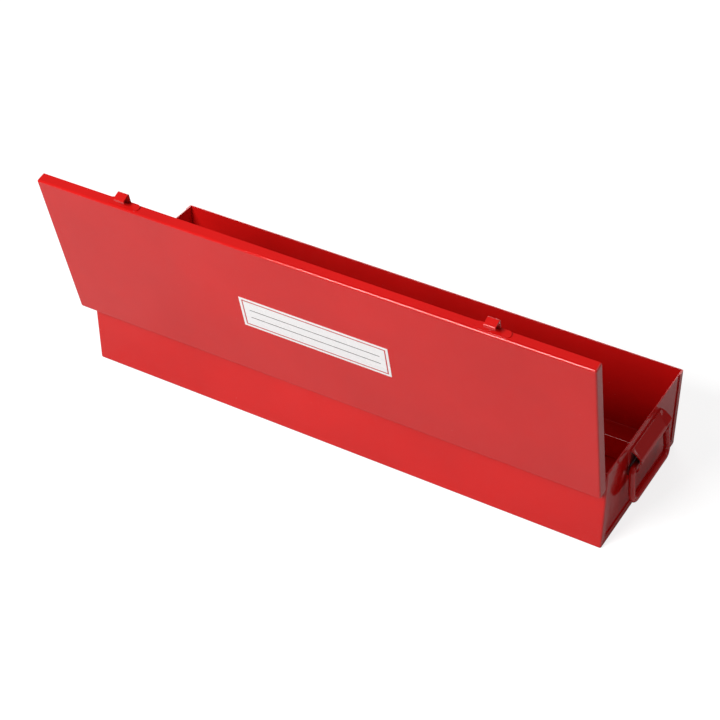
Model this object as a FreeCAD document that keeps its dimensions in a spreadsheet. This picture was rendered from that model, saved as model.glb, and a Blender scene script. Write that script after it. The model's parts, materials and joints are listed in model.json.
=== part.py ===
"""Long sheet-steel tool case with a hinged lid, modelled with its lid open on its stop.

Frame: origin at the middle of the case's underside, X along the length, the hinge on the +Y side,
the latches on the -Y side, +Z up. All sizes are millimetres.
"""
import FreeCAD, Part
import math
import os

import Sketcher

Vector = FreeCAD.Vector

# Driving sizes: alias, value, meaning.
SIZES = (
    ("length", 560.0, "case over its end flanges"),
    ("width", 170.0, "case over its long walls"),
    ("height", 90.0, "case, underside to rim"),
    ("sheet", 1.0, "steel sheet of case and lid"),
    ("bend", 2.0, "outer radius of a folded edge"),
    ("flange_wide", 8.5, "end flange along each upright corner"),
    ("flange_tall", 9.0, "end flange along the floor"),
    ("mitre_gap", 0.8, "open mitre between two end flanges"),
    ("lid_side_gap", 1.0, "between wall and lid skirt"),
    ("lid_rest_gap", 0.3, "between rim and closed lid"),
    ("skirt", 10.4, "depth of the lid over its outer face"),
    ("lid_open_angle", 103.4, "opening angle of the lid on its stop, degrees"),
    ("divider_y", 33.0, "floor divider in front of the middle of the case"),
    ("divider_tall", 26.0, "floor divider above the floor"),
    ("divider_foot", 12.0, "foot of the floor divider"),
    ("divider_gap", 1.0, "between the divider and an end panel"),
    ("hinge_drop", 12.8, "hinge axis below the rim"),
    ("hinge_inset", 3.0, "hinge end from the case end"),
    ("pin_d", 3.0, "hinge wire"),
    ("fit", 0.05, "radial running fit of every pin"),
    ("leaf", 0.8, "hinge leaf sheet"),
    ("lid_knuckles", 9.0, "knuckles on the lid leaf; the case leaf has one more"),
    ("knuckle_gap", 0.4, "between neighbouring knuckles"),
    ("lid_leaf_tall", 10.8, "lid leaf above the hinge axis"),
    ("joggle_top", 5.2, "case leaf joggle starts this far below the axis"),
    ("joggle_low", 7.2, "case leaf joggle ends this far below the axis"),
    ("case_leaf_tall", 15.2, "case leaf below the hinge axis"),
    ("heel_thick", 1.2, "stop heel on a lid knuckle"),
    ("heel_wide", 9.0, "stop heel along the hinge"),
    ("heel_gap", 0.3, "between a stop heel and the wall"),
    ("keeper_inset", 93.5, "middle of keeper and latch from the end of the case"),
    ("keeper_wide", 34.0, "keeper plate along the case"),
    ("keeper_tall", 8.2, "keeper plate across the skirt"),
    ("keeper_round", 4.05, "corner radius of a keeper plate"),
    ("keeper_sheet", 1.0, "keeper sheet"),
    ("hook_wide", 11.0, "keeper hook along the case"),
    ("hook_proud", 11.6, "keeper hook at its root, from the skirt"),
    ("hook_brow", 10.0, "keeper hook at its upper bend, from the skirt"),
    ("hook_tall", 9.4, "keeper hook, skirt edge to upper bend"),
    ("hook_lip", 3.0, "lip that turns in from the upper bend of the hook"),
    ("hook_bend", 1.3, "outer radius of the bends of the hook"),
    ("label_x", -4.5, "middle of the label along the lid"),
    ("label_back", 68.5, "label from the hinge edge of the lid"),
    ("label_long", 155.0, "label along the lid"),
    ("label_tall", 38.0, "label across the lid"),
    ("label_thick", 0.2, "label"),
    ("bail_z", 61.0, "handle pivot above the underside"),
    ("bail_out", 4.3, "handle pivot outside the end flanges"),
    ("bail_wire", 6.4, "handle wire"),
    ("bail_drop", 35.5, "handle, pivot to grip"),
    ("bail_splay", 1.6, "each leg of the handle spreads by this down to the grip"),
    ("bail_turn", 4.5, "handle bend at the pivot"),
    ("bail_corner", 8.0, "handle bend at the grip"),
    ("bail_tilt", 7.0, "handle hanging angle, degrees"),
    ("bail_play", 0.5, "wire opening wider than the wire, all round"),
    ("bracket_half", 34.9, "handle bracket, middle to outer face of an ear"),
    ("bracket_sheet", 1.2, "handle bracket sheet"),
    ("bracket_fall", 10.0, "handle bracket below the pivot"),
    ("leg_gap", 0.7, "between an ear and the leg of the handle"),
    ("ear_jaw", 8.2, "lower bend of the ear outside the flanges"),
    ("ear_jaw_fall", 3.6, "lower bend of the ear below the pivot"),
    ("ear_chin", 5.0, "foot of the ear outside the flanges"),
    ("ear_chin_fall", 5.6, "foot of the ear below the pivot"),
    ("ear_root_fall", 7.0, "ear below the pivot, at the plate"),
    ("hood_half", 28.0, "half of the straight part of the hood"),
    ("hood_reach", 9.3, "hood from the plate"),
    ("hood_rise", 17.2, "hood above the pivot"),
    ("hood_roof", 2.0, "sloping sheet of the hood, measured upright"),
    ("mouth_reach", 10.9, "flared end of the hood from the plate"),
    ("mouth_rise", 18.5, "flared end of the hood above the pivot"),
    ("latch_z", 62.0, "latch pivot above the underside"),
    ("latch_out", 4.5, "latch pivot outside the front wall"),
    ("latch_sheet", 1.2, "latch sheet"),
    ("latch_pin_d", 2.5, "latch pivot pin"),
    ("latch_half", 12.8, "latch base, middle to outer face of an ear"),
    ("latch_ear_tall", 9.0, "latch base ear"),
    ("latch_ear_out", 2.4, "latch base ear in front of the pivot"),
    ("latch_ear_round", 2.2, "corner radius of a latch base ear"),
    ("latch_foot", 16.0, "latch base plate below the pivot"),
    ("latch_head", 13.0, "latch base plate above the pivot"),
    ("latch_rim", 1.4, "latch base plate beyond an ear"),
    ("lever_gap", 0.4, "between lever and ear"),
    ("lever_long", 26.0, "lever, pivot to flare"),
    ("flare_out", 4.0, "lever flare, outwards"),
    ("flare_fall", 5.0, "lever flare, downwards"),
    ("loop_wire", 2.5, "latch loop wire"),
    ("loop_fall", 8.0, "loop pivot below the lever pivot"),
    ("loop_sink", 0.5, "loop barrel sunk into the lever"),
    ("loop_reach", 29.4, "latch loop, pivot to crossbar"),
    ("loop_corner", 3.0, "latch loop bend"),
    ("loop_gap", 0.8, "between pin end and loop leg"),
)

doc = FreeCAD.newDocument("ToolCase")
sheet = doc.addObject("Spreadsheet::Sheet", "Size")
for row, (alias, value, meaning) in enumerate(SIZES, start=1):
    sheet.set(f"A{row}", meaning)
    sheet.set(f"B{row}", str(value))
    sheet.setAlias(f"B{row}", alias)
doc.recompute()

# Sizes that follow from the driving ones, as expressions.
KNUCKLE_R = "(Size.pin_d / 2 + Size.fit + Size.leaf)"
BORE_R = "(Size.pin_d / 2 + Size.fit)"
HINGE_Y = f"(Size.width / 2 + Size.lid_side_gap + Size.sheet + {KNUCKLE_R})"
HINGE_Z = "(Size.height - Size.hinge_drop)"
HINGE_LONG = "(Size.length - 2 * Size.hinge_inset)"
PITCH = f"({HINGE_LONG} / (2 * Size.lid_knuckles + 1))"
HEEL_REACH = f"({KNUCKLE_R} + Size.sheet + Size.lid_side_gap - Size.heel_gap)"
LID_MARGIN = "(Size.lid_side_gap + Size.sheet)"
LID_LONG = f"(Size.length + 2 * {LID_MARGIN})"
LID_WIDE = f"(Size.width + 2 * {LID_MARGIN})"
LID_TOP = "(Size.hinge_drop + Size.lid_rest_gap + Size.sheet)"
SKIRT_EDGE = f"({LID_TOP} - Size.skirt)"
LID_FRONT = f"(-{KNUCKLE_R} - {LID_WIDE})"
PLATE_FACE = "(Size.bracket_sheet - Size.sheet)"
EAR_INNER = "(Size.bracket_half - Size.bracket_sheet)"
KEEPER_X = "(Size.length / 2 - Size.keeper_inset)"
LATCH_INNER = "(Size.latch_half - Size.latch_sheet)"
LATCH_BORE_R = "(Size.latch_pin_d / 2 + Size.fit)"
BARREL_R = f"({LATCH_BORE_R} + Size.latch_sheet - Size.fit)"
LOOP_BORE_R = "(Size.loop_wire / 2 + Size.fit)"
LOOP_BARREL_R = "(Size.loop_wire / 2 + Size.latch_sheet)"
LOOP_Y = f"(-{BARREL_R} - {LOOP_BARREL_R} + Size.loop_sink)"
PIN_HALF = "(Size.latch_half + Size.loop_wire / 4)"
LOOP_HALF = f"({PIN_HALF} + Size.loop_gap + Size.loop_wire / 2)"


def bind(thing, **expressions):
    """Bind properties to expressions; a double underscore in a name stands for a dot."""
    for name, expression in expressions.items():
        thing.setExpression(name.replace("__", "."), expression)


def new_body(name):
    """Start a sub-part."""
    body = doc.addObject("PartDesign::Body", name)
    body.Label = name
    return body


def origin_feature(body, role):
    """Return one of the body's own origin planes or axes."""
    return next(item for item in body.Origin.OriginFeatures if item.Role == role)


def block(body, name, kind, x, y, z):
    """Add or cut a box given as low and high expressions along each axis."""
    box = body.newObject(f"PartDesign::{kind}Box", name)
    for size, base, (low, high) in (("Length", "x", x), ("Width", "y", y), ("Height", "z", z)):
        box.setExpression(size, f"({high}) - ({low})")
        box.setExpression(f"Placement.Base.{base}", low)
    doc.recompute()
    return box


def sketch_on(body, name, role, offset=None, turn=None):
    """Attach an empty sketch to an origin plane, moved along its normal or turned about it."""
    sketch = body.newObject("Sketcher::SketchObject", name)
    sketch.AttachmentSupport = [(origin_feature(body, role), "")]
    sketch.MapMode = "FlatFace"
    if offset:
        bind(sketch, AttachmentOffset__Base__z=offset)
    if turn:
        sketch.AttachmentOffset = FreeCAD.Placement(Vector(), FreeCAD.Rotation(Vector(0, 0, 1), 1))
        bind(sketch, AttachmentOffset__Rotation__Angle=turn)
    return sketch


def pin_point(sketch, edge, end, across, up, near):
    """Hold one point of a sketch at two expressions measured from the sketch's origin."""
    for kind, expression, value in (("DistanceX", across, near.x), ("DistanceY", up, near.y)):
        index = sketch.addConstraint(Sketcher.Constraint(kind, -1, 1, edge, end, value))
        sketch.setExpression(f"Constraints[{index}]", expression)


# Sections of the handle's hood, from the plate outwards: share of its reach, share of its rise.
HOOD_SHAPE = ((0, 1), (0.3, 0.79), (0.88, 0.38), (0.97, 0.3), (1, 0.23), (1, 0.145))
MOUTH_SHAPE = ((0, 1), (0.26, 0.97), (0.84, 0.72), (0.98, 0.605), (1, 0.486), (0.89, 0.27))


def evaluate(expression):
    """Work out an expression now, for a sketch's first shape."""
    return float(sheet.evalExpression(expression))


def add_outline(sketch, corners):
    """Draw a closed straight-sided outline through corners given as expression pairs."""
    points = [Vector(evaluate(across), evaluate(up), 0) for across, up in corners]
    count = len(points)
    first = sketch.GeometryCount
    for index, point in enumerate(points):
        sketch.addGeometry(Part.LineSegment(point, points[(index + 1) % count]), False)
    for index in range(count):
        following = first + (index + 1) % count
        sketch.addConstraint(Sketcher.Constraint("Coincident", first + index, 2, following, 1))
    for index, (across, up) in enumerate(corners):
        pin_point(sketch, first + index, 1, across, up, points[index])


def add_circle(sketch, radius, across="0", up="0"):
    """Draw a circle."""
    centre = Vector(evaluate(across), evaluate(up), 0)
    size = evaluate(radius)
    edge = sketch.addGeometry(Part.Circle(centre, Vector(0, 0, 1), size), False)
    index = sketch.addConstraint(Sketcher.Constraint("Radius", edge, size))
    sketch.setExpression(f"Constraints[{index}]", radius)
    pin_point(sketch, edge, 3, across, up, centre)


def extrude(body, name, kind, sketch, length):
    """Pad or pocket a sketch evenly to both sides of its plane."""
    feature = body.newObject(f"PartDesign::{kind}", name)
    feature.Profile = sketch
    feature.Midplane = True
    bind(feature, Length=length)
    sketch.Visibility = False
    doc.recompute()
    return feature


def prism(body, name, role, corners, length, kind="Pad"):
    """Pad or pocket a straight-sided outline."""
    sketch = sketch_on(body, f"{name}_sketch", role)
    add_outline(sketch, corners)
    return extrude(body, name, kind, sketch, length)


def rod(body, name, role, radius, length, across="0", up="0", kind="Pad"):
    """Pad or pocket a circle."""
    sketch = sketch_on(body, f"{name}_sketch", role)
    add_circle(sketch, radius, across, up)
    return extrude(body, name, kind, sketch, length)


def loft(body, name, kind, sections):
    """Add or cut a ruled loft between outlines at distances along -Y."""
    sketches = []
    for number, (distance, corners) in enumerate(sections, start=1):
        sketch = sketch_on(body, f"{name}_section_{number}", "XZ_Plane", distance)
        add_outline(sketch, corners)
        sketch.Visibility = False
        sketches.append(sketch)
    doc.recompute()
    feature = body.newObject(f"PartDesign::{kind}Loft", name)
    feature.Profile = sketches[0]
    feature.Sections = sketches[1:]
    feature.Ruled = True
    doc.recompute()
    return feature


def round_edges(body, name, radius, wanted):
    """Fillet the edges of the newest feature that pass a test."""
    base = body.Tip
    edges = [f"Edge{i}" for i, edge in enumerate(base.Shape.Edges, start=1) if wanted(edge)]
    fillet = body.newObject("PartDesign::Fillet", name)
    fillet.Base = (base, edges)
    bind(fillet, Radius=radius)
    doc.recompute()
    return fillet


def along(edge, axis):
    """Tell whether an edge is straight and parallel to an axis."""
    span = edge.lastVertex().Point - edge.firstVertex().Point
    return abs(abs(span.dot(axis)) - edge.Length) < 1e-6


def repeat(body, name, feature, length, count):
    """Repeat a feature along X."""
    pattern = body.newObject("PartDesign::LinearPattern", name)
    pattern.Originals = [feature]
    pattern.Direction = (origin_feature(body, "X_Axis"), [""])
    bind(pattern, Length=length, Occurrences=count)
    body.Tip = pattern
    doc.recompute()
    return pattern


def mirror(body, name, feature, role):
    """Mirror a feature in an origin plane."""
    copy = body.newObject("PartDesign::Mirrored", name)
    copy.Originals = [feature]
    copy.MirrorPlane = (origin_feature(body, role), [""])
    body.Tip = copy
    doc.recompute()
    return copy


def fold_box(body, x, y, z, open_at):
    """Fold a box of sheet with one open side, at its top ("ZMax") or its bottom ("ZMin")."""
    block(body, "blank", "Additive", x, y, z)
    rim = getattr(body.Shape.BoundBox, open_at)
    round_edges(body, "outer_folds", "Size.bend",
                lambda edge: edge.BoundBox.ZLength > 1 or abs(edge.BoundBox.ZMax - rim) > 1)
    outer = (x, y, z)
    inner = [[f"{low} + Size.sheet", f"{high} - Size.sheet"] for low, high in outer]
    if open_at == "ZMax":
        inner[2][1] = f"{z[1]} + Size.sheet"
    else:
        inner[2][0] = f"{z[0]} - Size.sheet"
    block(body, "inside", "Subtractive", *inner)
    box = body.Shape.BoundBox

    def inside(edge):
        corner = edge.BoundBox
        clear = box.XMax - corner.XMax > 0.1 and corner.XMin - box.XMin > 0.1
        clear = clear and box.YMax - corner.YMax > 0.1 and corner.YMin - box.YMin > 0.1
        return clear and (corner.ZLength > 1 or abs(corner.ZMax - rim) > 1)

    round_edges(body, "inner_folds", "Size.bend - Size.sheet", inside)


def place(body, x="0", y="0", z="0", axis=None, angle=None):
    """Place a sub-part, turned about an axis where one is given."""
    if axis:
        body.Placement = FreeCAD.Placement(Vector(), FreeCAD.Rotation(axis, 1))
        bind(body, Placement__Rotation__Angle=angle)
    bind(body, Placement__Base__x=x, Placement__Base__y=y, Placement__Base__z=z)


def place_on_lid(body, x="0"):
    """Turn a sub-part of the closed lid, drawn about the hinge axis, to the open lid."""
    place(body, x, HINGE_Y, HINGE_Z, Vector(-1, 0, 0), "Size.lid_open_angle")


def wire_ring(body, role, section_role, half, drop, top, low, wire, splay="0"):
    """Bend a closed ring of wire that hangs from its top bar, which lies on the origin.

    Its legs stand at half the width at their upper ends and spread by splay down to the grip.
    """
    path = sketch_on(body, "route", role)
    w = evaluate(half)
    d = evaluate(drop)
    a = evaluate(top)
    b = evaluate(low)
    normal = Vector(0, 0, 1)
    right = math.pi / 2
    runs = (
        ((w - a, 0), (a - w, 0)), ((a - w, -a), a, 1), ((-w, -a), (-w, b - d)),
        ((b - w, b - d), b, 2), ((b - w, -d), (w - b, -d)), ((w - b, b - d), b, 3),
        ((w, b - d), (w, -a)), ((w - a, -a), a, 0),
    )
    for run in runs:
        if len(run) == 2:
            path.addGeometry(Part.LineSegment(Vector(*run[0], 0), Vector(*run[1], 0)), False)
        else:
            circle = Part.Circle(Vector(*run[0], 0), normal, run[1])
            arc = Part.ArcOfCircle(circle, run[2] * right, (run[2] + 1) * right)
            path.addGeometry(arc, False)
    for index in range(8):
        path.addConstraint(Sketcher.Constraint("Tangent", index, 2, (index + 1) % 8, 1))
    for index in (0, 4):
        path.addConstraint(Sketcher.Constraint("Horizontal", index))
    for index, radius in ((1, top), (3, low), (5, low), (7, top)):
        number = path.addConstraint(Sketcher.Constraint("Radius", index, evaluate(radius)))
        path.setExpression(f"Constraints[{number}]", radius)
    for kind, edge, end, expression, value in (
        ("DistanceY", 0, 1, "0", 0), ("DistanceY", 4, 1, f"-({drop})", -d),
        ("DistanceX", 2, 1, f"-({half})", -w), ("DistanceX", 6, 2, half, w),
        ("DistanceX", 2, 2, f"-({half}) - ({splay})", -w),
        ("DistanceX", 6, 1, f"{half} + {splay}", w),
    ):
        number = path.addConstraint(Sketcher.Constraint(kind, -1, 1, edge, end, value))
        path.setExpression(f"Constraints[{number}]", expression)
    section = sketch_on(body, "section", section_role)
    add_circle(section, f"({wire}) / 2")
    doc.recompute()
    pipe = body.newObject("PartDesign::AdditivePipe", "bent_wire")
    pipe.Profile = section
    pipe.Spine = (path, [f"Edge{i}" for i in range(1, 9)])
    doc.recompute()


# --- case -------------------------------------------------------------------------------------

def make_tub():
    """Fold the walls, the floor and the end flanges from one sheet."""
    body = new_body("body_tub")
    fold_box(body, ("-Size.length / 2", "Size.length / 2"),
             ("-Size.width / 2", "Size.width / 2"), ("0", "Size.height"), "ZMax")
    block(body, "end_windows", "Subtractive", ("-Size.length", "Size.length"),
          ("-Size.width / 2 + Size.flange_wide", "Size.width / 2 - Size.flange_wide"),
          ("Size.flange_tall", "Size.height + Size.bend"))
    sketch = sketch_on(body, "mitre_sketch", "YZ_Plane", "Size.length / 2")
    for side in ("", "-"):
        inner = f"{side}(Size.width / 2 - Size.flange_wide - Size.sheet)"
        outer = f"{side}(Size.width / 2 - Size.sheet)"
        add_outline(sketch, (
            (inner, "Size.flange_tall + Size.sheet - Size.mitre_gap / 2"),
            (outer, "Size.sheet - Size.mitre_gap / 2"),
            (outer, "Size.sheet + Size.mitre_gap / 2"),
            (inner, "Size.flange_tall + Size.sheet + Size.mitre_gap / 2"),
        ))
    mitre = extrude(body, "mitre", "Pocket", sketch, "2 * Size.sheet")
    mirror(body, "mitre_far_end", mitre, "YZ_Plane")


def make_end_panel(name, side):
    """Cut a flat end panel that lies behind the end flanges."""
    body = new_body(name)
    block(body, "plate", "Additive", ("-Size.sheet / 2", "Size.sheet / 2"),
          ("-Size.width / 2 + Size.bend", "Size.width / 2 - Size.bend"),
          ("Size.bend", "Size.height"))
    place(body, f"{side} * (Size.length / 2 - 1.5 * Size.sheet)")


def make_divider():
    """Fold the angle strip that parts the floor lengthwise."""
    body = new_body("floor_divider")
    prism(body, "angle", "YZ_Plane", (
        ("-Size.divider_y", "Size.sheet"),
        ("-Size.divider_y", "Size.sheet + Size.divider_tall"),
        ("-Size.divider_y - Size.sheet", "Size.sheet + Size.divider_tall"),
        ("-Size.divider_y - Size.sheet", "2 * Size.sheet"),
        ("-Size.divider_y - Size.divider_foot", "2 * Size.sheet"),
        ("-Size.divider_y - Size.divider_foot", "Size.sheet"),
    ), "Size.length - 4 * Size.sheet - 2 * Size.divider_gap")
    rear = evaluate("-Size.divider_y") - 0.1
    low = evaluate("Size.sheet") + 0.1
    round_edges(body, "fold", "Size.bend", lambda edge: along(edge, Vector(1, 0, 0))
                and edge.BoundBox.YMin > rear and edge.BoundBox.ZMax < low)


def make_case_leaf():
    """Roll the hinge leaf of the case, joggled down to the rear wall."""
    body = new_body("hinge_leaf_body")
    face = f"({HINGE_Y} - {KNUCKLE_R})"
    prism(body, "leaf", "YZ_Plane", (
        (face, HINGE_Z),
        (face, f"{HINGE_Z} - Size.joggle_top"),
        ("Size.width / 2", f"{HINGE_Z} - Size.joggle_low"),
        ("Size.width / 2", f"{HINGE_Z} - Size.case_leaf_tall"),
        ("Size.width / 2 + Size.leaf", f"{HINGE_Z} - Size.case_leaf_tall"),
        ("Size.width / 2 + Size.leaf", f"{HINGE_Z} - Size.joggle_low"),
        (f"{face} + Size.leaf", f"{HINGE_Z} - Size.joggle_top"),
        (f"{face} + Size.leaf", HINGE_Z),
    ), HINGE_LONG)
    rod(body, "roll", "YZ_Plane", KNUCKLE_R, HINGE_LONG, HINGE_Y, HINGE_Z)
    rod(body, "bore", "YZ_Plane", BORE_R, f"2 * {HINGE_LONG}", HINGE_Y, HINGE_Z, "Pocket")
    start = f"(-{HINGE_LONG} / 2 + {PITCH} - Size.knuckle_gap / 2)"
    notch = block(body, "notch", "Subtractive", (start, f"{start} + {PITCH} + Size.knuckle_gap"),
                  (f"{face} - Size.leaf", f"{HINGE_Y} + {KNUCKLE_R} + Size.leaf"),
                  (f"{HINGE_Z} - {HEEL_REACH} - Size.heel_gap", f"{HINGE_Z} + 2 * {KNUCKLE_R}"))
    repeat(body, "notches", notch, f"2 * {PITCH} * (Size.lid_knuckles - 1)", "Size.lid_knuckles")


def make_hinge_pin():
    """Cut the hinge wire."""
    body = new_body("hinge_pin")
    rod(body, "wire", "YZ_Plane", "Size.pin_d / 2", HINGE_LONG)
    place(body, "0", HINGE_Y, HINGE_Z)


def hood_outline(shape, reach, rise, foot=None):
    """Give a section of the hood, closed along the plate; foot carries it further down."""
    corners = [(f"{PLATE_FACE} + {across} * {reach}", f"Size.bail_z + {up} * {rise}")
               for across, up in shape]
    if foot:
        corners.append((corners[-1][0], foot))
    return (*corners, (PLATE_FACE, corners[-1][1]))


def make_bracket(name, turn):
    """Press a handle bracket: a plate, two ears that carry the wire and a flared hood over it."""
    body = new_body(name)
    back = "-Size.sheet"
    lip, lip_rise = MOUTH_SHAPE[-1]
    lip = f"{PLATE_FACE} + {lip} * Size.mouth_reach"
    lip_rise = f"Size.bail_z + {lip_rise} * Size.mouth_rise"
    prism(body, "ear_block", "XZ_Plane", (
        (back, lip_rise),
        (lip, lip_rise),
        (lip, "Size.bail_z"),
        ("Size.ear_jaw", "Size.bail_z - Size.ear_jaw_fall"),
        ("Size.ear_chin", "Size.bail_z - Size.ear_chin_fall"),
        (back, "Size.bail_z - Size.ear_root_fall"),
    ), "2 * Size.bracket_half")
    block(body, "between_ears", "Subtractive", ("-2 * Size.sheet", "2 * Size.mouth_reach"),
          (f"-{EAR_INNER}", EAR_INNER), ("0", "2 * Size.height"))
    opening = "Size.bail_wire / 2 + Size.bail_play"
    rod(body, "wire_opening", "XZ_Plane", opening, "3 * Size.bracket_half",
        "Size.bail_out", "Size.bail_z", "Pocket")
    block(body, "wire_slot", "Subtractive",
          (f"Size.bail_out - ({opening})", f"Size.bail_out + {opening}"),
          ("-2 * Size.bracket_half", "2 * Size.bracket_half"),
          ("Size.bail_z", "Size.bail_z + Size.mouth_rise"))
    block(body, "plate", "Additive", (back, PLATE_FACE),
          ("-Size.bracket_half", "Size.bracket_half"),
          ("Size.bail_z - Size.bracket_fall", "Size.bail_z + Size.mouth_rise"))
    outer = hood_outline(HOOD_SHAPE, "Size.hood_reach", "Size.hood_rise")
    inner = hood_outline(HOOD_SHAPE, "(Size.hood_reach - Size.bracket_sheet)",
                         "(Size.hood_rise - Size.hood_roof)", "Size.bail_z")
    flare = hood_outline(MOUTH_SHAPE, "Size.mouth_reach", "Size.mouth_rise")
    mouth = hood_outline(MOUTH_SHAPE, "(Size.mouth_reach - Size.bracket_sheet)",
                         "(Size.mouth_rise - Size.bracket_sheet)", "Size.bail_z")
    prism(body, "hood", "XZ_Plane", outer, "2 * Size.hood_half")
    for kind, first, last in (("Additive", outer, flare), ("Subtractive", inner, mouth)):
        end = loft(body, f"{kind.lower()}_flare", kind,
                   (("Size.hood_half", first), ("Size.bracket_half", last)))
        mirror(body, f"{kind.lower()}_near_flare", end, "XZ_Plane")
    prism(body, "hood_hollow", "XZ_Plane", inner, "2 * Size.hood_half", "Pocket")
    place(body, f"{turn} * Size.length / 2")
    if turn < 0:
        body.Placement.Rotation = FreeCAD.Rotation(Vector(0, 0, 1), 180)


def make_bail(name, side):
    """Bend a carrying handle from thick wire, hanging in its bracket."""
    body = new_body(name)
    half = "(Size.bracket_half + Size.leg_gap + Size.bail_wire / 2)"
    wire_ring(body, "YZ_Plane", "XZ_Plane", half, "Size.bail_drop", "Size.bail_turn",
              "Size.bail_corner", "Size.bail_wire", "Size.bail_splay")
    place(body, f"{side} * (Size.length / 2 + Size.bail_out)", "0", "Size.bail_z",
          Vector(0, -side, 0), "Size.bail_tilt")


# --- lid, drawn closed about the hinge axis ----------------------------------------------------

def make_lid():
    """Press the lid with its shallow skirt."""
    body = new_body("lid_shell")
    fold_box(body, (f"-{LID_LONG} / 2", f"{LID_LONG} / 2"),
             (LID_FRONT, f"-{KNUCKLE_R}"), (SKIRT_EDGE, LID_TOP), "ZMin")
    place_on_lid(body)


def make_lid_leaf():
    """Roll the hinge leaf of the lid, with a stop heel on each knuckle."""
    body = new_body("hinge_leaf_lid")
    prism(body, "leaf", "YZ_Plane", (
        (f"-{KNUCKLE_R}", "0"),
        (f"-{KNUCKLE_R} + Size.leaf", "0"),
        (f"-{KNUCKLE_R} + Size.leaf", "Size.lid_leaf_tall"),
        (f"-{KNUCKLE_R}", "Size.lid_leaf_tall"),
    ), HINGE_LONG)
    rod(body, "roll", "YZ_Plane", KNUCKLE_R, HINGE_LONG)
    sketch = sketch_on(body, "heel_sketch", "YZ_Plane", turn="Size.lid_open_angle")
    add_outline(sketch, (
        (f"-{HEEL_REACH}", "-Size.heel_thick / 2"),
        (f"-{BORE_R}", "-Size.heel_thick / 2"),
        (f"-{BORE_R}", "Size.heel_thick / 2"),
        (f"-{HEEL_REACH}", "Size.heel_thick / 2"),
    ))
    bind(sketch, AttachmentOffset__Base__z=f"{PITCH} * (1 - Size.lid_knuckles)")
    heel = extrude(body, "heel", "Pad", sketch, "Size.heel_wide")
    repeat(body, "heels", heel, f"2 * {PITCH} * (Size.lid_knuckles - 1)", "Size.lid_knuckles")
    rod(body, "bore", "YZ_Plane", BORE_R, f"2 * {HINGE_LONG}", kind="Pocket")
    start = f"(-{HINGE_LONG} / 2 - Size.knuckle_gap / 2)"
    notch = block(body, "notch", "Subtractive", (start, f"{start} + {PITCH} + Size.knuckle_gap"),
                  (f"-2 * {KNUCKLE_R}", f"2 * {KNUCKLE_R}"),
                  (f"-2 * {KNUCKLE_R}", f"{KNUCKLE_R} + Size.knuckle_gap"))
    repeat(body, "notches", notch, f"2 * {PITCH} * Size.lid_knuckles", "Size.lid_knuckles + 1")
    place_on_lid(body)


def make_keeper(name, side):
    """Stamp a keeper: an obround plate with a hook for the latch loop."""
    body = new_body(name)
    block(body, "plate", "Additive", ("-Size.keeper_wide / 2", "Size.keeper_wide / 2"),
          (f"{LID_FRONT} - Size.keeper_sheet", LID_FRONT),
          (SKIRT_EDGE, f"{SKIRT_EDGE} + Size.keeper_tall"))
    out = Vector(0, 1, 0)
    round_edges(body, "plate_ends", "Size.keeper_round", lambda edge: along(edge, out))
    lean = "((Size.hook_proud - Size.hook_brow) / Size.hook_tall)"
    thick = f"(Size.keeper_sheet * sqrt({lean}^2 + 1))"
    root = f"(Size.hook_proud - {thick} - Size.keeper_sheet * {lean})"
    under = "(Size.hook_tall - Size.keeper_sheet)"
    prism(body, "hook", "YZ_Plane", (
        (LID_FRONT, SKIRT_EDGE),
        (f"{LID_FRONT} - Size.hook_proud", SKIRT_EDGE),
        (f"{LID_FRONT} - Size.hook_brow", f"{SKIRT_EDGE} + Size.hook_tall"),
        (f"{LID_FRONT} - Size.hook_brow + Size.hook_lip", f"{SKIRT_EDGE} + Size.hook_tall"),
        (f"{LID_FRONT} - Size.hook_brow + Size.hook_lip", f"{SKIRT_EDGE} + {under}"),
        (f"{LID_FRONT} - Size.hook_proud + {thick} + {lean} * {under}", f"{SKIRT_EDGE} + {under}"),
        (f"{LID_FRONT} - {root}", f"{SKIRT_EDGE} + Size.keeper_sheet"),
        (LID_FRONT, f"{SKIRT_EDGE} + Size.keeper_sheet"),
    ), "Size.hook_wide")
    bends = evaluate(f"{LID_FRONT} - Size.hook_brow") + 0.1
    round_edges(body, "hook_bends", "Size.hook_bend",
                lambda edge: along(edge, Vector(1, 0, 0)) and edge.BoundBox.YMax < bends)
    place_on_lid(body, f"{side} * {KEEPER_X}")


def make_label():
    """Cut the paper label on the lid."""
    body = new_body("contents_label")
    back = f"(-{KNUCKLE_R} - Size.label_back)"
    block(body, "paper", "Additive",
          ("Size.label_x - Size.label_long / 2", "Size.label_x + Size.label_long / 2"),
          (f"{back} - Size.label_tall", back), (LID_TOP, f"{LID_TOP} + Size.label_thick"))
    place_on_lid(body)


# --- latches, drawn about the lever pivot ------------------------------------------------------

def place_latch(body, side, y="0", z="0"):
    """Place a latch piece on the front wall below its keeper."""
    place(body, f"{side} * {KEEPER_X}", f"-Size.width / 2 - Size.latch_out + {y}",
          f"Size.latch_z + {z}")


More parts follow.
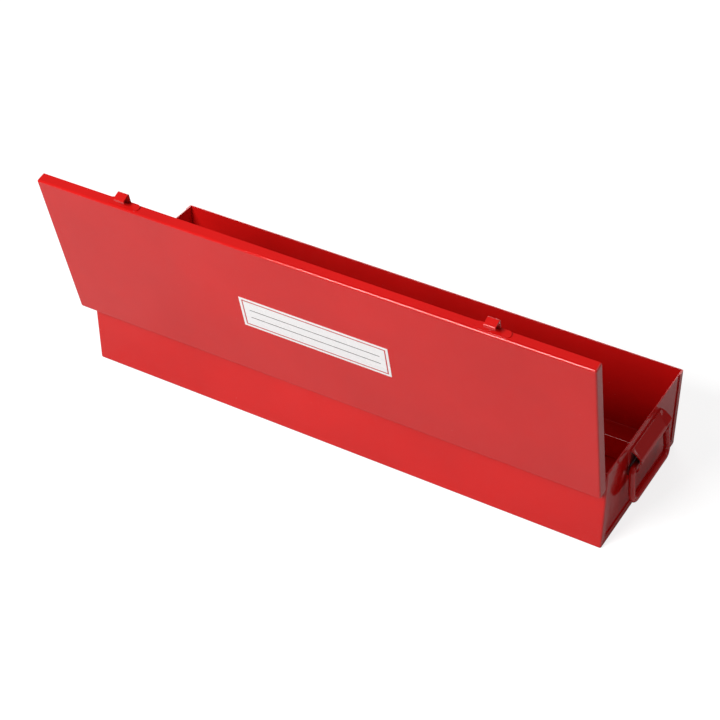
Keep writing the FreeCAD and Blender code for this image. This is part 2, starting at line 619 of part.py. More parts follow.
def make_latch_base(name, side):
    """Stamp the bracket that carries the lever."""
    body = new_body(name)
    low = "-Size.latch_ear_tall / 2"
    high = "Size.latch_ear_tall / 2"
    block(body, "ear_block", "Additive", ("-Size.latch_half", "Size.latch_half"),
          ("-Size.latch_ear_out", "Size.latch_out"), (low, high))
    across = Vector(1, 0, 0)
    round_edges(body, "ear_corners", "Size.latch_ear_round",
                lambda edge: along(edge, across) and edge.BoundBox.YMax < 0)
    block(body, "between_ears", "Subtractive", (f"-{LATCH_INNER}", LATCH_INNER),
          ("-2 * Size.latch_ear_out", "2 * Size.latch_out"), (f"2 * {low}", f"2 * {high}"))
    rod(body, "pin_hole", "YZ_Plane", LATCH_BORE_R, "3 * Size.latch_half", kind="Pocket")
    block(body, "plate", "Additive",
          ("-Size.latch_half - Size.latch_rim", "Size.latch_half + Size.latch_rim"),
          ("Size.latch_out - Size.latch_sheet", "Size.latch_out"),
          ("-Size.latch_foot", "Size.latch_head"))
    place_latch(body, side)


def make_latch_pin(name, side):
    """Cut the lever's pivot pin."""
    body = new_body(name)
    rod(body, "pin", "YZ_Plane", "Size.latch_pin_d / 2", f"2 * {PIN_HALF}")
    place_latch(body, side)


def make_latch_lever(name, side):
    """Roll the lever, with one barrel for its pin and one for the loop."""
    body = new_body(name)
    wide = f"2 * ({LATCH_INNER} - Size.lever_gap)"
    face = f"-{BARREL_R}"
    inner = f"({face} + Size.latch_sheet)"
    prism(body, "plate", "YZ_Plane", (
        (face, "0"),
        (inner, "0"),
        (inner, "-Size.lever_long"),
        (f"{inner} - Size.flare_out", "-Size.lever_long - Size.flare_fall"),
        (f"{face} - Size.flare_out", "-Size.lever_long - Size.flare_fall"),
        (face, "-Size.lever_long"),
    ), wide)
    rod(body, "pin_barrel", "YZ_Plane", BARREL_R, wide)
    rod(body, "loop_barrel", "YZ_Plane", LOOP_BARREL_R, wide, LOOP_Y, "-Size.loop_fall")
    rod(body, "pin_bore", "YZ_Plane", LATCH_BORE_R, f"2 * {wide}", kind="Pocket")
    rod(body, "loop_bore", "YZ_Plane", LOOP_BORE_R, f"2 * {wide}", LOOP_Y, "-Size.loop_fall",
        "Pocket")
    place_latch(body, side)


def make_latch_loop(name, side):
    """Bend the wire loop that catches the keeper, hanging in front of the lever."""
    body = new_body(name)
    wire_ring(body, "XZ_Plane", "YZ_Plane", LOOP_HALF, "Size.loop_reach", "Size.loop_corner",
              "Size.loop_corner", "Size.loop_wire")
    place_latch(body, side, LOOP_Y, "(-Size.loop_fall)")


make_tub()
make_divider()
make_case_leaf()
make_hinge_pin()
make_lid()
make_lid_leaf()
make_label()
for end, sign in (("left", -1), ("right", 1)):
    make_end_panel(f"end_panel_{end}", sign)
    make_bracket(f"handle_bracket_{end}", sign)
    make_bail(f"handle_bail_{end}", sign)
    make_keeper(f"keeper_{end}", sign)
    make_latch_base(f"latch_base_{end}", sign)
    make_latch_pin(f"latch_pin_{end}", sign)
    make_latch_lever(f"latch_lever_{end}", sign)
    make_latch_loop(f"latch_loop_{end}", sign)
doc.recompute()

for item in doc.Objects:
    if "Invalid" in item.State or "Error" in item.State:
        raise RuntimeError(f"{item.Name} failed")

os.makedirs("parts", exist_ok=True)
for body in doc.findObjects("PartDesign::Body"):
    if body.Shape.isNull() or not body.Shape.isValid():
        raise RuntimeError(f"{body.Label} has no valid shape")
    body.Shape.exportStep(f"parts/{body.Label}.step")
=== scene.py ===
"""Paints and lights a long sheet-steel tool case: gloss enamel, bare wire, plain write-on label."""
import json
import math

import bpy
from mathutils import Matrix, Vector


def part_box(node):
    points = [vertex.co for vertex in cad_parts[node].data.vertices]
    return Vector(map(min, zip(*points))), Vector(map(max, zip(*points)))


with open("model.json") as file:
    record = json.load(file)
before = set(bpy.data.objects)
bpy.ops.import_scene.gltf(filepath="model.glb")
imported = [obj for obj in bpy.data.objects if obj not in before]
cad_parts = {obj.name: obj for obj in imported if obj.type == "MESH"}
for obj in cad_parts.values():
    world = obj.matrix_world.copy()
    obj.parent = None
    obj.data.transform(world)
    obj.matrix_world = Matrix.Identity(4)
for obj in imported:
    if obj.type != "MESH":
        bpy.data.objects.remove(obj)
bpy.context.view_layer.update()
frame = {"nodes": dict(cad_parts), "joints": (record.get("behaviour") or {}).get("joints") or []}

bl_info = {
    "name": "Steel tool case dressing",
    "version": (1, 0, 0),
    "blender": (4, 5, 0),
    "location": "View3D > Sidebar > Tool Case",
    "description": "Finishes and stage for a long sheet-steel tool case",
    "category": "Object",
}

NODES = frame["nodes"]
LID_JOINT = next(joint for joint in frame["joints"] if joint["name"] == "lid_hinge")
LID_TURN = math.radians(LID_JOINT["range_deg"][1])  # from the open lid at rest to the closed one

# Finish: whether it lies on flat sheet, how worn its corners are, how dusty it is.
FINISHES = {
    "enamel_sheet": (True, 0.35, 0.5),
    "enamel_fittings": (False, 0.5, 0.3),
    "enamel_wire": (False, 0.6, 0.2),
}
FOLD_ANGLE = math.radians(32)  # faces that meet at less than this are one smooth fold
CUT_ANGLE = math.radians(50)  # edges sharper than this are cut edges, which the paint rounds
FLAT_WEIGHT = 80  # how strongly a large flat face keeps its shading flat
PAINT_IOR = 1.5
DUST_COLOUR = (0.62, 0.50, 0.48, 1)
DUST_ROUGHNESS = 0.4  # what a speck of dust adds to the roughness
WEAR_REACH = 0.0007
CORNER_START, CORNER_FULL = 0.985, 0.85  # cosine between the plain and the rounded normal
WORN_ROUGHNESS = 0.2  # what a rubbed corner adds to the roughness
# Painted shade in the hollows of fittings: how far open room is sought, and the share of open room
# where the painted shade begins and is full
HOLLOW_REACH = 0.01
HOLLOW_SHADE_START, HOLLOW_SHADE_FULL = 0.5, 0.22  # share of open room where a hollow begins and is full
HOLLOW_ROUGHNESS = 0.6  # what the inside of a hollow adds to the roughness
WIRE_LINES = (60, 4000, 4000)  # draw lines per metre along X, the wire's length, and across it
WIRE_LINE_HEIGHT = 0.00002
RULE_MARGIN_LONG, RULE_MARGIN_TALL = 3, 2.4  # writing lines from the paper's edge, in insets
INK_EDGE = 0.00015  # width over which a printed line fades out

# Lamp: where it hangs, then its width and height.
LAMPS = {
    "key": ((0.62, 2.1, 1.78), (1.2, 0.9)),
    "fill": ((1.3, -2.4, 1.6), (1.8, 1.1)),
    "side": ((-2.1, -0.7, 1.8), (1.4, 1.4)),
}
LAMP_AIM = Vector((0, 0.05, 0.08))
SENSOR_WIDTH = 36.0
WHITE_START, WHITE_FULL = 0.7, 2.2  # the floor turns plain white between these distances
WHITE = (1, 1, 1, 1)


# --- settings ----------------------------------------------------------------------------------

class EnamelSettings(bpy.types.PropertyGroup):
    """Gloss enamel on sheet steel."""

    colour: bpy.props.FloatVectorProperty(
        name="Colour", description="Enamel colour", subtype="COLOR", size=3,
        default=(0.66, 0.0085, 0.0075), min=0, max=1)
    worn_colour: bpy.props.FloatVectorProperty(
        name="Rubbed colour", description="Enamel where it is rubbed thin on a corner",
        subtype="COLOR", size=3, default=(0.36, 0.012, 0.010), min=0, max=1)
    # Painted shade: the dark enamel colour put deep inside a fitting, where shade falls
    hollow_shade_colour: bpy.props.FloatVectorProperty(
        name="Hollow colour", description="Thin, dusty enamel deep inside a fitting",
        subtype="COLOR", size=3, default=(0.05, 0.004, 0.004), min=0, max=1)
    roughness: bpy.props.FloatProperty(
        name="Roughness", description="Mean roughness of the enamel", subtype="FACTOR",
        default=0.08, min=0, max=1)
    peel_size: bpy.props.FloatProperty(
        name="Peel size", description="Pitch of the orange peel", unit="LENGTH", default=0.0026)
    peel_height: bpy.props.FloatProperty(
        name="Peel height", description="Height of the orange peel", unit="LENGTH",
        default=0.0000022, precision=6)
    wave_size: bpy.props.FloatProperty(
        name="Wave size", description="Pitch of the waves that pressing leaves in flat sheet",
        unit="LENGTH", default=0.11)
    wave_height: bpy.props.FloatProperty(
        name="Wave height", description="Height of the waves in flat sheet", unit="LENGTH",
        default=0.0002, precision=5)
    edge_round: bpy.props.FloatProperty(
        name="Edge round", description="Radius that the paint gives a cut sheet edge",
        unit="LENGTH", default=0.0002, precision=5)


class SteelSettings(bpy.types.PropertyGroup):
    """Bare drawn wire."""

    colour: bpy.props.FloatVectorProperty(
        name="Colour", description="Clean steel", subtype="COLOR", size=3,
        default=(0.52, 0.50, 0.48), min=0, max=1)
    tarnish: bpy.props.FloatVectorProperty(
        name="Tarnish", description="Steel that has gone dull", subtype="COLOR", size=3,
        default=(0.30, 0.26, 0.22), min=0, max=1)


class LabelSettings(bpy.types.PropertyGroup):
    """Plain write-on label."""

    paper: bpy.props.FloatVectorProperty(
        name="Paper", description="Paper colour", subtype="COLOR", size=3,
        default=(0.95, 0.95, 0.95), min=0, max=1)
    frame_ink: bpy.props.FloatVectorProperty(
        name="Frame ink", description="Colour of the frame", subtype="COLOR", size=3,
        default=(0.55, 0.012, 0.012), min=0, max=1)
    rule_ink: bpy.props.FloatVectorProperty(
        name="Rule ink", description="Colour of the writing lines", subtype="COLOR", size=3,
        default=(0.05, 0.05, 0.05), min=0, max=1)
    inset: bpy.props.FloatProperty(
        name="Inset", description="Frame from the paper's edge", unit="LENGTH", default=0.0032)
    frame_line: bpy.props.FloatProperty(
        name="Frame line", description="Width of the frame", unit="LENGTH", default=0.0011)
    rule_line: bpy.props.FloatProperty(
        name="Rule line", description="Width of a writing line", unit="LENGTH", default=0.0007)
    rule_pitch: bpy.props.FloatProperty(
        name="Rule pitch", description="Between two writing lines", unit="LENGTH", default=0.0096)


class StageSettings(bpy.types.PropertyGroup):
    """Camera, floor and lamps."""

    camera_place: bpy.props.FloatVectorProperty(
        name="Camera place", description="Where the camera stands", subtype="TRANSLATION", size=3,
        default=(-0.6892, 1.1991, 1.1322))
    camera_turn: bpy.props.FloatVectorProperty(
        name="Camera turn", description="Tilt from straight down, heading and roll",
        subtype="EULER", size=3,
        default=(math.radians(51.93), math.radians(210.66), math.radians(-0.26)))
    lens: bpy.props.FloatProperty(
        name="Lens", description="Focal length in millimetres", default=89.67)
    floor_size: bpy.props.FloatProperty(
        name="Floor size", description="Side of the floor", unit="LENGTH", default=8.0)
    key_power: bpy.props.FloatProperty(
        name="Key power", description="Large soft lamp above the hinge side, in watts",
        default=80.0)
    fill_power: bpy.props.FloatProperty(
        name="Fill power", description="Soft lamp over the latch side, in watts", default=24.0)
    side_power: bpy.props.FloatProperty(
        name="Side power", description="Soft lamp high over the near end, in watts", default=6.0)
    sky: bpy.props.FloatProperty(
        name="Sky", description="Brightness of the room round the object", default=0.16)
    mirrored_sky: bpy.props.FloatProperty(
        name="Mirrored sky", description="Brightness of the room in glossy paint", default=0.12)
    floor_tone: bpy.props.FloatProperty(
        name="Floor tone", description="How much light the floor returns", subtype="FACTOR",
        default=0.35, min=0, max=1)
    floor_mirrored: bpy.props.FloatProperty(
        name="Floor in reflections", description="Extra floor tone that glossy paint sees",
        subtype="FACTOR", default=0.3, min=0, max=1)
    floor_white: bpy.props.FloatProperty(
        name="Floor white", description="How far the floor by the object is lifted to white",
        subtype="FACTOR", default=0.80, min=0, max=1)


# --- nodes -------------------------------------------------------------------------------------

def add_node(tree, kind, inputs=None, **settings):
    """Add a shader node; inputs hold values or sockets by name or number."""
    made = tree.nodes.new(kind)
    for name, value in settings.items():
        setattr(made, name, value)
    for name, value in (inputs or {}).items():
        socket = made.inputs[name]
        if isinstance(value, bpy.types.NodeSocket):
            tree.links.new(value, socket)
        else:
            socket.default_value = value
    return made


def math_node(tree, operation, first, second=0.0, third=0.0, clamp=False):
    """Add a Math node and return its output."""
    inputs = {0: first, 1: second, 2: third}
    return add_node(tree, "ShaderNodeMath", inputs, operation=operation, use_clamp=clamp).outputs[0]


def mix_colour(tree, factor, first, second):
    """Mix two colours and return the result; the Mix node's colours are 6 and 7, its output 2."""
    made = add_node(tree, "ShaderNodeMix", {0: factor, 6: first, 7: second}, data_type="RGBA")
    return made.outputs[2]


def noise(tree, vector, scale, detail=2.0, roughness=0.5):
    """Add a noise texture and return its factor."""
    inputs = {"Vector": vector, "Scale": scale, "Detail": detail, "Roughness": roughness}
    return add_node(tree, "ShaderNodeTexNoise", inputs).outputs[0]


def span(tree, value, low, high, to_low=0.0, to_high=1.0):
    """Map a value from one span to another, with both ends held."""
    inputs = {"Value": value, 1: low, 2: high, 3: to_low, 4: to_high}
    return add_node(tree, "ShaderNodeMapRange", inputs).outputs[0]


def new_group(name, inputs, outputs):
    """Start a node group and return it with its input and output nodes."""
    group = bpy.data.node_groups.new(name, "ShaderNodeTree")
    for socket_name, kind, default in inputs:
        socket = group.interface.new_socket(socket_name, in_out="INPUT", socket_type=kind)
        socket.default_value = default
    for socket_name, kind in outputs:
        group.interface.new_socket(socket_name, in_out="OUTPUT", socket_type=kind)
    return group, group.nodes.new("NodeGroupInput"), group.nodes.new("NodeGroupOutput")


def shared_group(name, build):
    """Return a node group, built the first time that it is asked for."""
    return bpy.data.node_groups.get(name) or build(name)


def use_group(tree, group, **inputs):
    """Place a group in a material; an underscore in a name stands for a space."""
    made = tree.nodes.new("ShaderNodeGroup")
    made.node_tree = group
    for name, value in inputs.items():
        made.inputs[name.replace("_", " ")].default_value = value
    return made


def build_paint_relief(name):
    """Orange peel over long waves, as a height in metres."""
    group, given, out = new_group(name, (
        ("Peel size", "NodeSocketFloat", 0.0026), ("Peel height", "NodeSocketFloat", 0.000002),
        ("Wave size", "NodeSocketFloat", 0.11), ("Wave height", "NodeSocketFloat", 0.0004),
    ), (("Height", "NodeSocketFloat"),))
    place = add_node(group, "ShaderNodeTexCoord").outputs["Object"]
    peel_scale = math_node(group, "DIVIDE", 1.0, given.outputs["Peel size"])
    wave_scale = math_node(group, "DIVIDE", 1.0, given.outputs["Wave size"])
    peel = noise(group, place, peel_scale, 1.0, 0.4)
    wave = noise(group, place, wave_scale, 1.0, 0.3)
    peel = math_node(group, "MULTIPLY", peel, given.outputs["Peel height"])
    height = math_node(group, "MULTIPLY_ADD", wave, given.outputs["Wave height"], peel)
    group.links.new(height, out.inputs["Height"])
    return group


def build_paint_tone(name):
    """Slow drift of tone, settled dust and faint handling haze; noise scales are per metre."""
    group, given, out = new_group(name, (
        ("Colour", "NodeSocketColor", (0.6, 0.01, 0.01, 1)),
        ("Dust", "NodeSocketFloat", 0.3),
        ("Roughness", "NodeSocketFloat", 0.08),
    ), (("Colour", "NodeSocketColor"), ("Roughness", "NodeSocketFloat")))
    place = add_node(group, "ShaderNodeTexCoord").outputs["Object"]
    drift = span(group, noise(group, place, 9.0, 3.0), 0.3, 0.7, 0.93, 1.05)
    grain = span(group, noise(group, place, 900.0, 2.0), 0.2, 0.8, 0.985, 1.015)
    tone = math_node(group, "MULTIPLY", drift, grain)
    shade = add_node(group, "ShaderNodeVectorMath",
                     {"Scale": tone, 0: given.outputs["Colour"]}, operation="SCALE")
    specks = span(group, noise(group, place, 420.0, 4.0, 0.6), 0.74, 0.80)
    specks = math_node(group, "MULTIPLY", specks, given.outputs["Dust"])
    dusty = mix_colour(group, specks, shade.outputs[0], DUST_COLOUR)
    group.links.new(dusty, out.inputs["Colour"])
    haze = span(group, noise(group, place, 26.0, 5.0, 0.65), 0.35, 0.75, -0.02, 0.05)
    rough = math_node(group, "ADD", given.outputs["Roughness"], haze)
    rough = math_node(group, "MULTIPLY_ADD", specks, DUST_ROUGHNESS, rough)
    group.links.new(rough, out.inputs["Roughness"])
    return group


def build_corner_wear(name):
    """Mask of the corners that hands and a bench rub."""
    group, given, out = new_group(name, (
        ("Reach", "NodeSocketFloat", 0.0006), ("Amount", "NodeSocketFloat", 0.5),
    ), (("Mask", "NodeSocketFloat"),))
    rounded = add_node(group, "ShaderNodeBevel", {"Radius": given.outputs["Reach"]}, samples=4)
    plain = add_node(group, "ShaderNodeNewGeometry")
    facing = add_node(group, "ShaderNodeVectorMath",
                      {0: rounded.outputs[0], 1: plain.outputs["Normal"]}, operation="DOT_PRODUCT")
    corner = span(group, facing.outputs["Value"], CORNER_START, CORNER_FULL)
    place = add_node(group, "ShaderNodeTexCoord").outputs["Object"]
    patches = span(group, noise(group, place, 60.0, 4.0, 0.6), 0.40, 0.66)
    mask = math_node(group, "MULTIPLY", corner, patches)
    mask = math_node(group, "MULTIPLY", mask, given.outputs["Amount"], clamp=True)
    group.links.new(mask, out.inputs["Mask"])
    return group


def new_material(name):
    """Start a material with one Principled shader."""
    material = bpy.data.materials.new(name)
    material.use_nodes = True
    tree = material.node_tree
    return material, tree, tree.nodes["Principled BSDF"]


def enamel(name, settings):
    """Make a gloss enamel finish for flat sheet, for small fittings or for wire; fittings and wire
    get painted shade in their hollows.
    """
    found = bpy.data.materials.get(name)
    if found:
        return found
    flat_sheet, wear, dust = FINISHES[name]
    material, tree, shader = new_material(name)
    relief = use_group(tree, shared_group("paint_relief", build_paint_relief),
                       Peel_size=settings.peel_size, Peel_height=settings.peel_height,
                       Wave_size=settings.wave_size,
                       Wave_height=settings.wave_height if flat_sheet else 0.0)
    tone = use_group(tree, shared_group("paint_tone", build_paint_tone),
                     Colour=(*settings.colour, 1), Dust=dust, Roughness=settings.roughness)
    worn = use_group(tree, shared_group("corner_wear", build_corner_wear),
                     Reach=WEAR_REACH, Amount=wear)
    colour = mix_colour(tree, worn.outputs["Mask"], tone.outputs["Colour"],
                        (*settings.worn_colour, 1))
    rough = math_node(tree, "MULTIPLY_ADD", worn.outputs["Mask"], WORN_ROUGHNESS,
                      tone.outputs["Roughness"])
    if not flat_sheet:
        # Painted shade: the enamel is darkened in the hollows of fittings and wire, and the gloss
        # there is made rougher
        open_share = add_node(tree, "ShaderNodeAmbientOcclusion", {"Distance": HOLLOW_REACH},
                              samples=8)
        hollow = span(tree, open_share.outputs["AO"], HOLLOW_SHADE_START, HOLLOW_SHADE_FULL)
        rough = math_node(tree, "MULTIPLY_ADD", hollow, HOLLOW_ROUGHNESS, rough, clamp=True)
        colour = mix_colour(tree, hollow, colour, (*settings.hollow_shade_colour, 1))
    bump = add_node(tree, "ShaderNodeBump", {"Height": relief.outputs["Height"], "Distance": 1.0})
    tree.links.new(colour, shader.inputs["Base Color"])
    tree.links.new(rough, shader.inputs["Roughness"])
    tree.links.new(bump.outputs[0], shader.inputs["Normal"])
    shader.inputs["IOR"].default_value = PAINT_IOR
    return material


def drawn_steel(name, settings):
    """Make plain drawn wire: fine lines along its length and a little tarnish."""
    found = bpy.data.materials.get(name)
    if found:
        return found
    material, tree, shader = new_material(name)
    place = add_node(tree, "ShaderNodeTexCoord").outputs["Object"]
    along = add_node(tree, "ShaderNodeMapping", {"Vector": place, "Scale": WIRE_LINES})
    lines = noise(tree, along.outputs[0], 1.0, 3.0)
    tarnish = noise(tree, place, 70.0, 4.0, 0.6)
    colour = mix_colour(tree, span(tree, tarnish, 0.45, 0.7), (*settings.colour, 1),
                        (*settings.tarnish, 1))
    tree.links.new(colour, shader.inputs["Base Color"])
    tree.links.new(span(tree, lines, 0.3, 0.7, 0.24, 0.42), shader.inputs["Roughness"])
    bump = add_node(tree, "ShaderNodeBump", {"Height": lines, "Distance": WIRE_LINE_HEIGHT})
    tree.links.new(bump.outputs[0], shader.inputs["Normal"])
    shader.inputs["Metallic"].default_value = 1.0
    return material


def stroke(tree, distance, width):
    """Return a mask of a printed line round zero."""
    size = math_node(tree, "ABSOLUTE", distance)
    return span(tree, size, 0.5 * width, 0.5 * width + INK_EDGE, 1.0, 0.0)


def label_print(name, settings):
    """Make the printed paper: a frame and plain writing lines under a clear film."""
    low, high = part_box("contents_label")
    middle = (low + high) / 2
    half_long = (high.x - low.x) / 2
    half_tall = (high - low).yz.length / 2
    material, tree, shader = new_material(name)
    place = add_node(tree, "ShaderNodeTexCoord").outputs["Object"]
    local = add_node(tree, "ShaderNodeVectorMath", {0: place, 1: middle}, operation="SUBTRACT")
    flat = add_node(tree, "ShaderNodeVectorRotate", {"Vector": local.outputs[0],
                    "Axis": (1, 0, 0), "Angle": LID_TURN}, rotation_type="AXIS_ANGLE")
    parts = add_node(tree, "ShaderNodeSeparateXYZ", {0: flat.outputs[0]})
    across = math_node(tree, "ABSOLUTE", parts.outputs["X"])
    up = math_node(tree, "ABSOLUTE", parts.outputs["Y"])
    beyond_x = math_node(tree, "SUBTRACT", across, half_long - settings.inset)
    beyond_y = math_node(tree, "SUBTRACT", up, half_tall - settings.inset)
    edge = math_node(tree, "MAXIMUM", beyond_x, beyond_y)
    ring = stroke(tree, edge, settings.frame_line)
    inside = math_node(tree, "LESS_THAN", across,
                       half_long - RULE_MARGIN_LONG * settings.inset)
    rule = math_node(tree, "PINGPONG", parts.outputs["Y"], settings.rule_pitch / 2)
    rule = math_node(tree, "SUBTRACT", rule, settings.rule_pitch / 2)
    rules = stroke(tree, rule, settings.rule_line)
    room = math_node(tree, "LESS_THAN", up, half_tall - RULE_MARGIN_TALL * settings.inset)
    rules = math_node(tree, "MULTIPLY", math_node(tree, "MULTIPLY", rules, inside), room)
    fibre = span(tree, noise(tree, place, 1600.0, 3.0), 0.3, 0.7, 0.97, 1.02)
    paper = add_node(tree, "ShaderNodeVectorMath", {"Scale": fibre, 0: tuple(settings.paper)},
                     operation="SCALE")
    colour = mix_colour(tree, rules, paper.outputs[0], (*settings.rule_ink, 1))
    colour = mix_colour(tree, ring, colour, (*settings.frame_ink, 1))
    tree.links.new(colour, shader.inputs["Base Color"])
    film = span(tree, noise(tree, place, 40.0, 4.0), 0.3, 0.7, 0.22, 0.32)
    tree.links.new(film, shader.inputs["Roughness"])
    return material


# --- shapes ------------------------------------------------------------------------------------

def paint_nodes(names, material, edge_round=0):
    """Give CAD nodes a finish, smooth shading over their folds and softened cut edges."""
    for name in names:
        piece = NODES[name]
        mesh = piece.data
        mesh.materials.clear()
        mesh.materials.append(material)
        mesh.shade_smooth()
        mesh.set_sharp_from_angle(angle=FOLD_ANGLE)
        if edge_round:
            soften = piece.modifiers.new("paint_edge", "BEVEL")
            soften.width = edge_round
            soften.segments = 2
            soften.limit_method = "ANGLE"
            soften.angle_limit = CUT_ANGLE
        level = piece.modifiers.new("flat_faces", "WEIGHTED_NORMAL")
        level.mode = "FACE_AREA"
        level.weight = FLAT_WEIGHT
        level.keep_sharp = True


# --- operators ---------------------------------------------------------------------------------

class CASE_OT_sheet_body(bpy.types.Operator):
    """Paint the folded case and its end panels"""

    bl_idname = "tool_case.sheet_body"
    bl_label = "Case"

    def execute(self, context):
        settings = context.scene.case_enamel
        paint_nodes(("body_tub", "floor_divider", "end_panel_left", "end_panel_right"),
                    enamel("enamel_sheet", settings), settings.edge_round)
        return {"FINISHED"}


class CASE_OT_lid(bpy.types.Operator):
    """Paint the lid and its keepers"""

    bl_idname = "tool_case.lid"
    bl_label = "Lid"

    def execute(self, context):
        settings = context.scene.case_enamel
        paint_nodes(("lid_shell",), enamel("enamel_sheet", settings), settings.edge_round)
        paint_nodes(("keeper_left", "keeper_right"), enamel("enamel_fittings", settings),
                    settings.edge_round)
        return {"FINISHED"}


class CASE_OT_hinge(bpy.types.Operator):
    """Paint the piano hinge and leave its wire bare"""

    bl_idname = "tool_case.hinge"
    bl_label = "Hinge"

    def execute(self, context):
        settings = context.scene.case_enamel
        paint_nodes(("hinge_leaf_body", "hinge_leaf_lid"), enamel("enamel_fittings", settings),
                    0.5 * settings.edge_round)
        paint_nodes(("hinge_pin",), drawn_steel("bare_wire", context.scene.case_steel))
        return {"FINISHED"}


class CASE_OT_handles(bpy.types.Operator):
    """Paint the handle brackets and the wire handles"""

    bl_idname = "tool_case.handles"
    bl_label = "Handles"

    def execute(self, context):
        settings = context.scene.case_enamel
        paint_nodes(("handle_bracket_left", "handle_bracket_right"),
                    enamel("enamel_fittings", settings), settings.edge_round)
        paint_nodes(("handle_bail_left", "handle_bail_right"), enamel("enamel_wire", settings))
        return {"FINISHED"}


class CASE_OT_latches(bpy.types.Operator):
    """Paint the draw latches and leave their pins bare"""

    bl_idname = "tool_case.latches"
    bl_label = "Latches"

    def execute(self, context):
        settings = context.scene.case_enamel
        for side in ("left", "right"):
            paint_nodes((f"latch_base_{side}", f"latch_lever_{side}"),
                        enamel("enamel_fittings", settings), settings.edge_round)
            paint_nodes((f"latch_loop_{side}",), enamel("enamel_wire", settings))
            paint_nodes((f"latch_pin_{side}",), drawn_steel("bare_wire", context.scene.case_steel))
        return {"FINISHED"}


class CASE_OT_label(bpy.types.Operator):
    """Print the plain write-on label"""

    bl_idname = "tool_case.label"
    bl_label = "Label"

    def execute(self, context):
        paint_nodes(("contents_label",), label_print("label_print", context.scene.case_label))
        return {"FINISHED"}


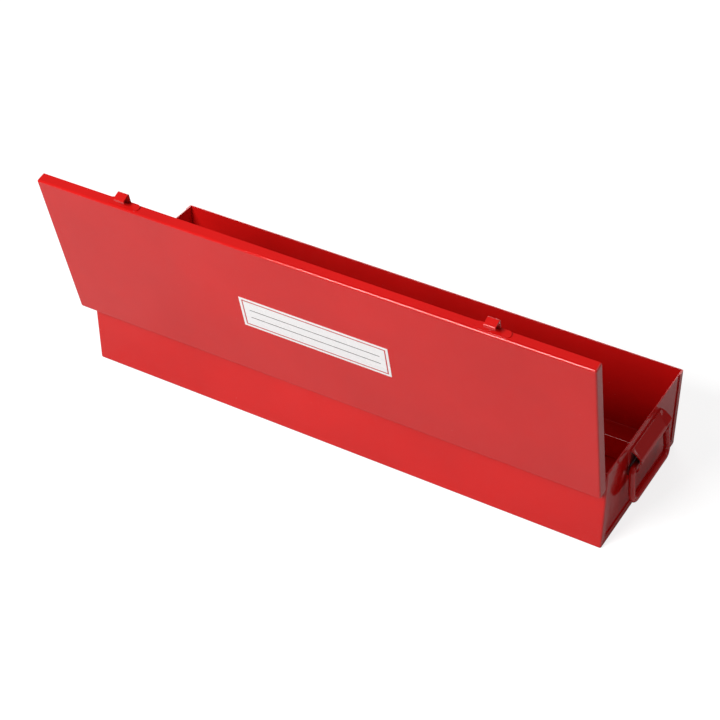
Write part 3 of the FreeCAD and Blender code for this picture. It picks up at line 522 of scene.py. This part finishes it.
class CASE_OT_stage(bpy.types.Operator):
    """Set up the floor, the lamps, the room and the camera"""

    bl_idname = "tool_case.stage"
    bl_label = "Stage"

    def execute(self, context):
        settings = context.scene.case_stage
        self.make_floor(settings)
        self.make_room(settings)
        for name in LAMPS:
            self.make_lamp(name, getattr(settings, f"{name}_power"))
        self.make_camera(context.scene, settings)
        context.scene.view_settings.view_transform = "Standard"
        return {"FINISHED"}

    @staticmethod
    def make_floor(settings):
        """Lay a pale floor that shows white past the object's soft shadow."""
        half = settings.floor_size / 2
        data = bpy.data.meshes.new("floor")
        corners = [(-half, -half, 0), (half, -half, 0), (half, half, 0), (-half, half, 0)]
        data.from_pydata(corners, [], [(0, 1, 2, 3)])
        material = bpy.data.materials.new("pale_floor")
        material.use_nodes = True
        tree = material.node_tree
        tree.nodes.clear()
        path = add_node(tree, "ShaderNodeLightPath")
        tone = math_node(tree, "MULTIPLY_ADD", path.outputs["Is Glossy Ray"],
                         settings.floor_mirrored, settings.floor_tone)
        matt = add_node(tree, "ShaderNodeBsdfDiffuse", {"Color": tone})
        seen = math_node(tree, "ADD", path.outputs["Is Camera Ray"],
                         path.outputs["Is Transmission Ray"])
        place = add_node(tree, "ShaderNodeTexCoord").outputs["Object"]
        away = add_node(tree, "ShaderNodeVectorMath", {0: place}, operation="LENGTH")
        white = span(tree, away.outputs["Value"], WHITE_START, WHITE_FULL,
                     settings.floor_white, 1.0)
        seen = math_node(tree, "MULTIPLY", seen, white)
        glow = add_node(tree, "ShaderNodeEmission", {"Color": WHITE, "Strength": seen})
        both = add_node(tree, "ShaderNodeAddShader", {0: matt.outputs[0], 1: glow.outputs[0]})
        add_node(tree, "ShaderNodeOutputMaterial", {"Surface": both.outputs[0]})
        data.materials.append(material)
        floor = bpy.data.objects.new("floor", data)
        bpy.context.scene.collection.objects.link(floor)

    @staticmethod
    def make_room(settings):
        """Light evenly from all round; the room itself shows white."""
        world = bpy.data.worlds.new("room")
        bpy.context.scene.world = world
        world.use_nodes = True
        tree = world.node_tree
        tree.nodes.clear()
        path = add_node(tree, "ShaderNodeLightPath")
        shown = math_node(tree, "ADD", path.outputs["Is Camera Ray"],
                          path.outputs["Is Transmission Ray"], clamp=True)
        plain, mirror, white = (
            add_node(tree, "ShaderNodeBackground", {"Color": WHITE, "Strength": strength})
            for strength in (settings.sky, settings.mirrored_sky, 1.0))
        inner = add_node(tree, "ShaderNodeMixShader", {0: path.outputs["Is Glossy Ray"],
                         1: plain.outputs[0], 2: mirror.outputs[0]})
        outer = add_node(tree, "ShaderNodeMixShader", {0: shown, 1: inner.outputs[0],
                         2: white.outputs[0]})
        add_node(tree, "ShaderNodeOutputWorld", {"Surface": outer.outputs[0]})

    @staticmethod
    def make_lamp(name, power):
        """Hang one soft lamp of the table and point it at the object."""
        place, size = LAMPS[name]
        lamp = bpy.data.lights.new(f"{name}_lamp", "AREA")
        lamp.shape = "RECTANGLE"
        lamp.size, lamp.size_y = size
        lamp.energy = power
        item = bpy.data.objects.new(f"{name}_lamp", lamp)
        item.location = place
        aim = LAMP_AIM - Vector(place)
        item.rotation_euler = aim.to_track_quat("-Z", "Y").to_euler()
        bpy.context.scene.collection.objects.link(item)

    @staticmethod
    def make_camera(scene, settings):
        """Stand the camera in its place; its roll comes first, then its tilt and heading."""
        lens = bpy.data.cameras.new("camera")
        lens.lens = settings.lens
        lens.sensor_width = SENSOR_WIDTH
        camera = bpy.data.objects.new("camera", lens)
        camera.location = settings.camera_place
        tilt, heading, roll = settings.camera_turn
        turn = (Matrix.Rotation(heading, 3, "Z") @ Matrix.Rotation(tilt, 3, "X")
                @ Matrix.Rotation(roll, 3, "Z"))
        camera.rotation_euler = turn.to_euler()
        scene.collection.objects.link(camera)
        scene.camera = camera


class CASE_PT_panel(bpy.types.Panel):
    """Steps that finish the tool case"""

    bl_idname = "CASE_PT_panel"
    bl_label = "Tool Case"
    bl_space_type = "VIEW_3D"
    bl_region_type = "UI"
    bl_category = "Tool Case"

    def draw(self, context):
        for operator in OPERATORS:
            self.layout.operator(operator.bl_idname)


SETTINGS = (
    ("case_enamel", EnamelSettings), ("case_steel", SteelSettings),
    ("case_label", LabelSettings), ("case_stage", StageSettings),
)
OPERATORS = (
    CASE_OT_sheet_body, CASE_OT_lid, CASE_OT_hinge, CASE_OT_handles, CASE_OT_latches,
    CASE_OT_label, CASE_OT_stage,
)


def register():
    """Register the settings, the operators and the panel."""
    for name, group in SETTINGS:
        bpy.utils.register_class(group)
        setattr(bpy.types.Scene, name, bpy.props.PointerProperty(type=group))
    for item in (*OPERATORS, CASE_PT_panel):
        bpy.utils.register_class(item)


def unregister():
    """Remove what register added."""
    for item in (CASE_PT_panel, *reversed(OPERATORS)):
        bpy.utils.unregister_class(item)
    for name, group in reversed(SETTINGS):
        delattr(bpy.types.Scene, name)
        bpy.utils.unregister_class(group)


def main():
    """Dress the case and light it."""
    register()
    bpy.ops.tool_case.sheet_body()
    bpy.ops.tool_case.lid()
    bpy.ops.tool_case.hinge()
    bpy.ops.tool_case.handles()
    bpy.ops.tool_case.latches()
    bpy.ops.tool_case.label()
    bpy.ops.tool_case.stage()


if __name__ == "__main__":
    main()
